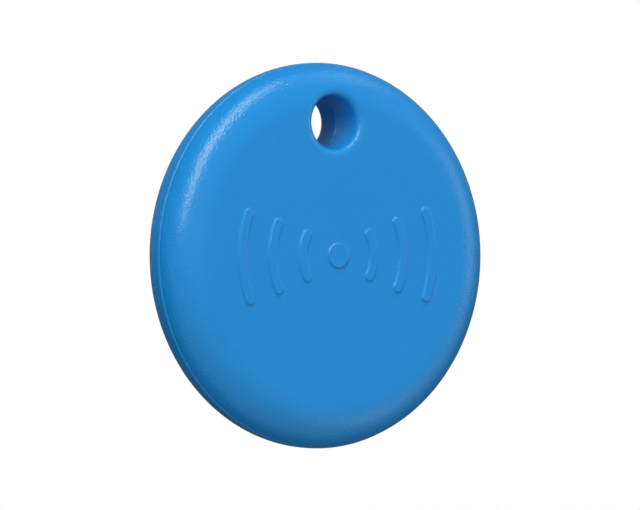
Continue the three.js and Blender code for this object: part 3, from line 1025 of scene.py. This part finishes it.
class TAG_OT_board(bpy.types.Operator):
    """Circuit board with its solder mask, cut edge, pads and plated holes"""

    bl_idname = "tag.board"
    bl_label = "Circuit Board"

    def execute(self, context):
        mesh = refined("circuit_board", 0.03)
        slots = ["board_green", "board_core"]
        board = piece("board", mesh, "back_half", "board_green", slots, ["circuit_board"])
        for face in board.data.polygons:
            face.material_index = 0 if abs(face.normal.y) > 0.9 else 1
        sizes = {"Radius": 0.22, "Height": 0.05, "Sides": 20}
        mesh = grown_on_points("vias", self.spots(46), studs_tree(), sizes)
        piece("vias", mesh, "back_half", "contact_gold")
        return {"FINISHED"}

    def spots(self, count):
        """Scattered places for plated holes, clear of everything that stands on the board."""
        rng = np.random.default_rng(7)
        _, _, _, top = centre_of("circuit_board")
        things = [(*centre_of(n)[:2], 2.3) for n in BOARD_PARTS]
        things += [(*on_circle(POST_R, degrees), 1.5) for degrees in POST_ANGLES]
        things += [(0, HOLE_Y, 4.9), (0, CELL_Y, 11.4)]
        spots = []
        while len(spots) < count:
            turn, r = rng.uniform(0, 2 * math.pi), rng.uniform(11.6, 16.4)
            x, y = r * math.cos(turn), r * math.sin(turn)
            clear = all(math.hypot(x - u, y - v) > reach for u, v, reach in things)
            if clear and all(math.hypot(x - u, y - v) > 0.75 for u, v, _ in spots):
                spots.append((x, y, top))
        return spots


BOARD_PARTS = (
    "radio_chip", "crystal", "chip_antenna", "boost_inductor", "sounder_driver", "reservoir_capacitor",
    "chip_capacitor_1", "chip_capacitor_2", "chip_capacitor_3", "chip_capacitor_4", "chip_capacitor_5",
    "chip_resistor_1", "chip_resistor_2", "chip_resistor_3", "switch_base",
)
# node and its turn in degrees
SMALL_PARTS = (
    ("chip_capacitor_1", 0), ("chip_capacitor_2", 90), ("chip_capacitor_3", 70), ("chip_capacitor_4", 90),
    ("chip_capacitor_5", 90), ("chip_resistor_1", 20), ("chip_resistor_2", 30), ("chip_resistor_3", -15),
)
# node, leads on each side, their pitch, and half of the body's width
CHIPS = (("radio_chip", 8, 0.45, 2.0), ("sounder_driver", 5, 0.42, 1.3))
RESERVOIR_TURN = -34
# node, its turn in degrees, half of its length, and the width of its ends
CAPPED_PARTS = (("chip_antenna", 35, 2.35, 1.5), ("reservoir_capacitor", RESERVOIR_TURN, 1.75, 1.7))


def turned_offset(x, y, turn, u, v):
    c, s = math.cos(math.radians(turn)), math.sin(math.radians(turn))
    return x + u * c - v * s, y + u * s + v * c


class TAG_OT_parts(bpy.types.Operator):
    """Electronic parts on the board with their terminals, leads and marks"""

    bl_idname = "tag.parts"
    bl_label = "Electronic Parts"

    def execute(self, context):
        bevel = context.scene.tag_board.bevel / MM
        slots = {s["node"]: s["material_slot"] for s in frame["record"]["subparts"]}
        for node in BOARD_PARTS[:-1]:
            key = "part_steel" if node == "crystal" else slots[node]
            soft = 0.25 if node in ("boost_inductor", "crystal") else bevel
            piece(node + "_body", refined(node, soft), "back_half", slots[node], [key], [node])
        ends, leads, marks = self.small_ends(), self.small_leads(), []
        for node, count, pitch, reach in CHIPS:
            x, y, low, high = centre_of(node)
            leads += self.chip_leads(x, y, low, count, pitch, reach + 0.08)
            marks.append((x - reach + 0.55, y + reach - 0.55, high + 0.002))
        leads += self.end_caps()
        blocks("solder_ends", ends, "back_half", "cell_steel", "tin", 0.05)
        blocks("solder_leads", leads, "back_half", "cell_steel", "tin", 0.03)
        sizes = {"Radius": 0.2, "Height": 0.02, "Sides": 24}
        dots = grown_on_points("pin_one_dots", marks, studs_tree(), sizes)
        piece("pin_one_dots", dots, "back_half", "chip_black", ["chip_mark"])
        x, y, _, high = centre_of("reservoir_capacitor")
        at = turned_offset(x, y, RESERVOIR_TURN, -1.2, 0)
        band = (*at, high - 0.2, 0.55, 2.82, 0.44, RESERVOIR_TURN)
        blocks("capacitor_band", [band], "back_half", "capacitor_amber", "capacitor_band", 0.05)
        return {"FINISHED"}

    def small_ends(self):
        ends = []
        for node, turn in SMALL_PARTS:
            x, y, low, high = centre_of(node)
            for side in (-1, 1):
                at = turned_offset(x, y, turn, side * 0.66, 0)
                ends.append((*at, (low + high) / 2, 0.34, 0.86, high - low + 0.06, turn))
        return ends

    def small_leads(self):
        leads = []
        for node, turn in SMALL_PARTS:
            x, y, low, _ = centre_of(node)
            for side in (-1, 1):
                at = turned_offset(x, y, turn, side * 0.95, 0)
                leads.append((*at, low + 0.02, 0.5, 0.95, 0.05, turn))
        return leads

    def chip_leads(self, x, y, low, count, pitch, out):
        leads = []
        for i in range(count):
            off = (i - (count - 1) / 2) * pitch
            for side in (-1, 1):
                leads.append((x + side * out, y + off, low + 0.04, 0.3, 0.22, 0.08, 0))
                leads.append((x + off, y + side * out, low + 0.04, 0.22, 0.3, 0.08, 0))
        return leads

    def end_caps(self):
        caps = []
        for node, turn, reach, width in CAPPED_PARTS:
            x, y, low, _ = centre_of(node)
            for side in (-1, 1):
                at = turned_offset(x, y, turn, side * reach, 0)
                caps.append((*at, low + 0.25, 0.34, width, 0.5, turn))
        x, y, low, _ = centre_of("boost_inductor")
        return caps + [(x + side * 1.85, y, low + 0.12, 0.7, 3.2, 0.24, 0) for side in (-1, 1)]


class TAG_OT_cell_holder(bpy.types.Operator):
    """Cradle and the two spring contacts of the coin cell"""

    bl_idname = "tag.cell_holder"
    bl_label = "Cell Holder"

    def execute(self, context):
        piece("cradle", refined("cell_cradle", 0.08), "back_half", "cradle_black", replaces=["cell_cradle"])
        for node in ("cell_contact_plus", "cell_contact_minus"):
            piece(node + "_spring", refined(node, 0.02, 20), "back_half", "contact_gold", replaces=[node])
        return {"FINISHED"}


class TAG_OT_coin_cell(bpy.types.Operator):
    """The standard coin cell: can, grommet, cap, electrodes and separator"""

    bl_idname = "tag.coin_cell"
    bl_label = "Coin Cell"

    def execute(self, context):
        c = context.scene.tag_cell
        r, bottom, top = c.radius / MM, c.bottom / MM, c.top / MM
        wall, cap_r, crimp = 0.25, 8.7, bottom + 0.1
        flange = crimp + 0.3
        can = [
            (0, top - wall), (r - wall, top - wall), (r - wall, crimp + wall),
            (r - 0.75, crimp + wall - 0.05), (r - 0.75, crimp), (r - 0.3, crimp), (r, crimp + 0.3),
            (r, top - 0.35), (r - 0.35, top), (r - 0.9, top), (r - 0.98, top - 0.03), (0, top - 0.03),
        ]
        cap = [
            (0, bottom), (cap_r - 0.3, bottom), (cap_r, crimp + 0.1), (cap_r, flange), (r - 0.4, flange),
            (r - 0.4, flange + wall), (cap_r - wall, flange + wall), (cap_r - wall, bottom + wall),
            (0, bottom + wall),
        ]
        grommet = box_outline(cap_r + 0.05, r - 0.8, crimp, crimp + 0.2)
        anode = box_outline(0, cap_r - wall - 0.1, bottom + wall, ANODE_TOP)
        separator = box_outline(0, r - 0.5, ANODE_TOP, CATHODE_BOTTOM)
        cathode = box_outline(0, r - 0.5, CATHODE_BOTTOM, top - wall)
        for node, outline, slot, soft in (
            ("cell_grommet", grommet, "adhesive_black", 0.04),
            ("cell_anode", anode, "anode_lithium", 0.04),
            ("cell_separator", separator, "separator_white", 0.04),
            ("cell_cathode", cathode, "cathode_black", 0.04),
            ("cell_can", can, "cell_steel", 0.12),
            ("cell_cap", cap, "cell_steel", 0.04),
        ):
            mesh = turned(node + "_turned", outline, (0.0, CELL_Y), 160, soft)
            piece(node + "_turned", mesh, "coin_cell", slot, replaces=[node])
        at = (0, CELL_Y + 4.6, top - 0.02)
        bars = [(*at, 2.4, 0.55, 0.03, 0), (*at, 0.55, 2.4, 0.028, 0)]
        blocks("plus_sign", bars, "coin_cell", "cell_steel", "cell_steel", 0.008)
        return {"FINISHED"}


ANODE_TOP, CATHODE_BOTTOM = -0.1, 0.05  # the separator lies between them


class TAG_OT_sounder(bpy.types.Operator):
    """Piezo sounder glued to the back cover's floor, and the fingers that feed it"""

    bl_idname = "tag.sounder"
    bl_label = "Sounder"

    def execute(self, context):
        for node, inner, slot in (
            ("sounder_bond_ring", 10.0, "adhesive_black"),
            ("sounder_plate", 0.0, "sounder_brass"),
            ("sounder_ceramic", 0.0, "sounder_ceramic"),
        ):
            x, y, low, high = centre_of(node)
            outer = (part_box(node)[1].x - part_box(node)[0].x) / 2 / MM
            mesh = turned(node + "_turned", box_outline(inner, outer, low, high), (x, y), 128, 0.03)
            piece(node + "_turned", mesh, "back_half", slot, replaces=[node])
        x, y, _, high = centre_of("sounder_ceramic")
        silver = turned("silver_electrode", box_outline(0, 7.6, high, high + 0.015), (x, y), 96, 0.005)
        piece("silver_electrode", silver, "back_half", "sounder_ceramic", ["sounder_silver"])
        for node in ("sounder_contact_middle", "sounder_contact_edge"):
            piece(node + "_finger", refined(node, 0.02, 20), "back_half", "contact_gold", replaces=[node])
        return {"FINISHED"}


class TAG_OT_switch(bpy.types.Operator):
    """Tactile switch: base, dome, frame and button"""

    bl_idname = "tag.switch"
    bl_label = "Switch"

    def execute(self, context):
        base, plate = refined("switch_base", 0.05), refined("switch_frame", 0.025)
        piece("switch_base_body", base, "back_half", "chip_black", replaces=["switch_base"])
        piece("switch_frame_plate", plate, "back_half", "cell_steel", ["part_steel"], ["switch_frame"])
        x, y, low, high = centre_of("switch_dome")
        rise, gauge = high - low, 0.08
        steps = [(t, math.sqrt(1 - t * t)) for t in np.linspace(0, 0.97, 9)]
        under = [(1.1 * t, low + (rise - gauge) * k) for t, k in steps]
        over = [(1.2 * t, low + rise * k) for t, k in reversed(steps)]
        dome_mesh = turned("switch_dome_cap", under + [(1.1, low), (1.2, low)] + over, (x, y), 64, 0)
        cap = piece("switch_dome_cap", dome_mesh, "back_half", "cell_steel", ["part_steel"], ["switch_dome"])
        -low * MM
        (rise - PRESS) / rise
        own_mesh(cap)
        x, y, low, high = centre_of("switch_button")
        outline = [(0, low), (1.1, low), (1.1, low + 0.18), (0.7, low + 0.18), (0.7, high), (0, high)]
        button = turned("switch_button_cap", outline, (x, y), 64, 0.05)
        piece("switch_button_cap", button, "switch_plunger", "cradle_black", replaces=["switch_button"])
        leads = [(x + sx * 1.95, y + sy * 0.8, -1.14, 0.6, 0.5, 0.1, 0) for sx in (-1, 1) for sy in (-1, 1)]
        blocks("switch_leads", leads, "back_half", "cell_steel", "tin", 0.02)
        return {"FINISHED"}


# name, azimuth, elevation, size in millimetres, strength; all stand LIGHT_DISTANCE away and face the tag
LIGHTS = (
    ("key_low", -46, 20, 260, 0.084),
    ("key", -44, 31, 260, 0.112),
    ("key_high", -41, 41, 260, 0.114),
    ("upper_left", -37, 51, 260, 0.122),
    ("top_left", -31, 61, 260, 0.100),
    ("top", -13, 70, 260, 0.092),
    ("top_right", 20, 76, 260, 0.075),
    ("front_left", -22, 5, 640, 0.018),
    ("front", 0, 5, 640, 0.016),
    ("front_high", -15, 35, 640, 0.010),
    ("right", 65, 5, 640, 0.050),
    ("right_low", 50, -30, 640, 0.044),
    ("right_high", 80, 50, 640, 0.050),
    ("back_fill", 180, 5, 640, 0.480),
)
NO_GLOSS = ("back_fill",)  # this one lights the back without a glint on the rim
LIGHT_DISTANCE = 1.5
# brightness of the surround overhead and underneath, on the face's side and behind the tag
ABOVE_FACE, BELOW_FACE = 0.55, 0.62
ABOVE_BACK, BELOW_BACK = 0.20, 0.08
ROUND_TO_BACK, UP_FROM_BELOW = (-0.35, 0.15), (-0.35, 0.35)  # where it changes, along Y and along Z
CAMERA_SHIFT = (0.003890625, 0.0009375)


def direction(azimuth, elevation):
    """Unit vector from the tag; azimuth 0 is straight out of its face, positive to the viewer's right."""
    a, e = math.radians(azimuth), math.radians(elevation)
    return Vector((math.sin(a) * math.cos(e), -math.cos(a) * math.cos(e), math.sin(e)))


class TAG_OT_studio(bpy.types.Operator):
    """Camera, pale floor, soft lights and the white surround"""

    bl_idname = "tag.studio"
    bl_label = "Studio"

    def execute(self, context):
        s = context.scene.tag_studio
        self.camera(context, s)
        self.floor(s)
        self.lights()
        self.world(context)
        context.scene.view_settings.view_transform = "Standard"
        context.scene.view_settings.look = "None"
        return {"FINISHED"}

    def camera(self, context, s):
        data = bpy.data.cameras.new("camera")
        data.sensor_width, data.lens = 36.0, s.lens
        camera = bpy.data.objects.new("camera", data)
        context.scene.collection.objects.link(camera)
        context.scene.camera = camera
        middle = Vector((0, 0, -HOLE_Y * MM))
        back = direction(math.degrees(s.azimuth), math.degrees(s.elevation))
        right = Vector((math.cos(s.azimuth), math.sin(s.azimuth), 0))
        up = back.cross(right)
        turned_right = right * math.cos(s.roll) + up * math.sin(s.roll)
        turned_up = up * math.cos(s.roll) - right * math.sin(s.roll)
        matrix = Matrix((turned_right, turned_up, back)).transposed().to_4x4()
        matrix.translation = middle + back * s.distance
        camera.matrix_world = matrix
        data.shift_x, data.shift_y = CAMERA_SHIFT
        data.clip_start, data.clip_end = 0.01, 10.0

    def floor(self, s):
        n, radius = 96, s.floor_radius
        z = CAD_LOW.z - s.floor_drop
        rings = np.vstack([ring(r / MM, 0, n) for r in (radius * 0.5, radius)])
        points = [(x * MM, y * MM, z) for x, y, _ in rings]
        faces = [tuple(range(n))] + [(i, n + i, n + (i + 1) % n, (i + 1) % n) for i in range(n)]
        obj = loose("floor", mesh_of("floor", points, faces))
        f = Finish("Pale floor")
        x, y, _ = f.axes()
        reach = (x * x + y * y).math("SQRT") / radius
        fade = (1.25 - reach * 1.25).clamp()
        tint = f.shade(tuple(s.floor), 0.98 + f.noise(60.0) * 0.04)
        obj.data.materials.append(f.surface(base_color=tint, roughness=0.8, alpha=fade))
        obj.visible_diffuse = obj.visible_glossy = obj.visible_transmission = False

    def lights(self):
        target = Vector((0, 0, -HOLE_Y * MM))
        for name, azimuth, elevation, size, strength in LIGHTS:
            data = bpy.data.lights.new(name, "AREA")
            data.shape, data.size = "SQUARE", size * MM
            data.energy = strength * 4 * math.pi * LIGHT_DISTANCE**2
            light = bpy.data.objects.new(name, data)
            bpy.context.scene.collection.objects.link(light)
            out = direction(azimuth, elevation)
            light.location = target + out * LIGHT_DISTANCE
            light.rotation_mode = "QUATERNION"
            light.rotation_quaternion = out.to_track_quat("Z", "Y")
            light.visible_camera = False
            light.visible_glossy = name not in NO_GLOSS

    def fade(self, tree, value, span, first, last):
        """Soft step from first to last, numbers or sockets, as value crosses span."""
        node = tree.nodes.new("ShaderNodeMapRange")
        node.interpolation_type = "SMOOTHSTEP"
        for key, given in zip(("From Min", "From Max", "To Min", "To Max"), (*span, first, last)):
            if isinstance(given, bpy.types.NodeSocket):
                tree.links.new(given, node.inputs[key])
            else:
                node.inputs[key].default_value = given
        tree.links.new(value, node.inputs["Value"])
        return node.outputs[0]

    def world(self, context):
        world = bpy.data.worlds.new("Studio surround")
        context.scene.world = world
        world.use_nodes = True
        tree = world.node_tree
        tree.nodes.clear()
        path, seen, lit = (tree.nodes.new(k) for k in ("ShaderNodeLightPath", "ShaderNodeBackground",
                                                       "ShaderNodeBackground"))
        mix, out = tree.nodes.new("ShaderNodeMixShader"), tree.nodes.new("ShaderNodeOutputWorld")
        seen.inputs[0].default_value = (1, 1, 1, 1)
        lit.inputs[0].default_value = (1, 1, 1, 1)
        way, split = tree.nodes.new("ShaderNodeTexCoord"), tree.nodes.new("ShaderNodeSeparateXYZ")
        tree.links.new(way.outputs["Generated"], split.inputs[0])
        above = self.fade(tree, split.outputs["Y"], ROUND_TO_BACK, ABOVE_FACE, ABOVE_BACK)
        below = self.fade(tree, split.outputs["Y"], ROUND_TO_BACK, BELOW_FACE, BELOW_BACK)
        strength = self.fade(tree, split.outputs["Z"], UP_FROM_BELOW, below, above)
        tree.links.new(strength, lit.inputs["Strength"])
        tree.links.new(path.outputs["Is Camera Ray"], mix.inputs[0])
        tree.links.new(lit.outputs[0], mix.inputs[1])
        tree.links.new(seen.outputs[0], mix.inputs[2])
        tree.links.new(mix.outputs[0], out.inputs[0])


BUILDERS = (
    TAG_OT_studio, TAG_OT_front_cover, TAG_OT_back_cover, TAG_OT_seals, TAG_OT_board, TAG_OT_parts,
    TAG_OT_cell_holder, TAG_OT_coin_cell, TAG_OT_sounder, TAG_OT_switch,
)


class TAG_PT_panel(bpy.types.Panel):
    """Lists the tag's pieces and their settings"""

    bl_label = "Key Tag"
    bl_idname = "TAG_PT_panel"
    bl_space_type = "VIEW_3D"
    bl_region_type = "UI"
    bl_category = "Key Tag"

    def draw(self, context):
        for key in SETTINGS:
            group = getattr(context.scene, key)
            box = self.layout.box()
            for name in group.bl_rna.properties.keys():
                if name not in ("rna_type", "name"):
                    box.prop(group, name)
        for builder in BUILDERS:
            self.layout.operator(builder.bl_idname)


SETTINGS = {
    "tag_cover": CoverSettings,
    "tag_board": BoardSettings,
    "tag_cell": CellSettings,
    "tag_studio": StudioSettings,
}
CLASSES = (*SETTINGS.values(), *BUILDERS, TAG_PT_panel)


def register():
    for cls in CLASSES:
        bpy.utils.register_class(cls)
    for key, cls in SETTINGS.items():
        setattr(bpy.types.Scene, key, bpy.props.PointerProperty(type=cls))


def unregister():
    for key in SETTINGS:
        delattr(bpy.types.Scene, key)
    for cls in reversed(CLASSES):
        bpy.utils.unregister_class(cls)


def main():
    register()
    for builder in BUILDERS:
        group, name = builder.bl_idname.split(".")
        getattr(getattr(bpy.ops, group), name)()


if __name__ == "__main__":
    main()
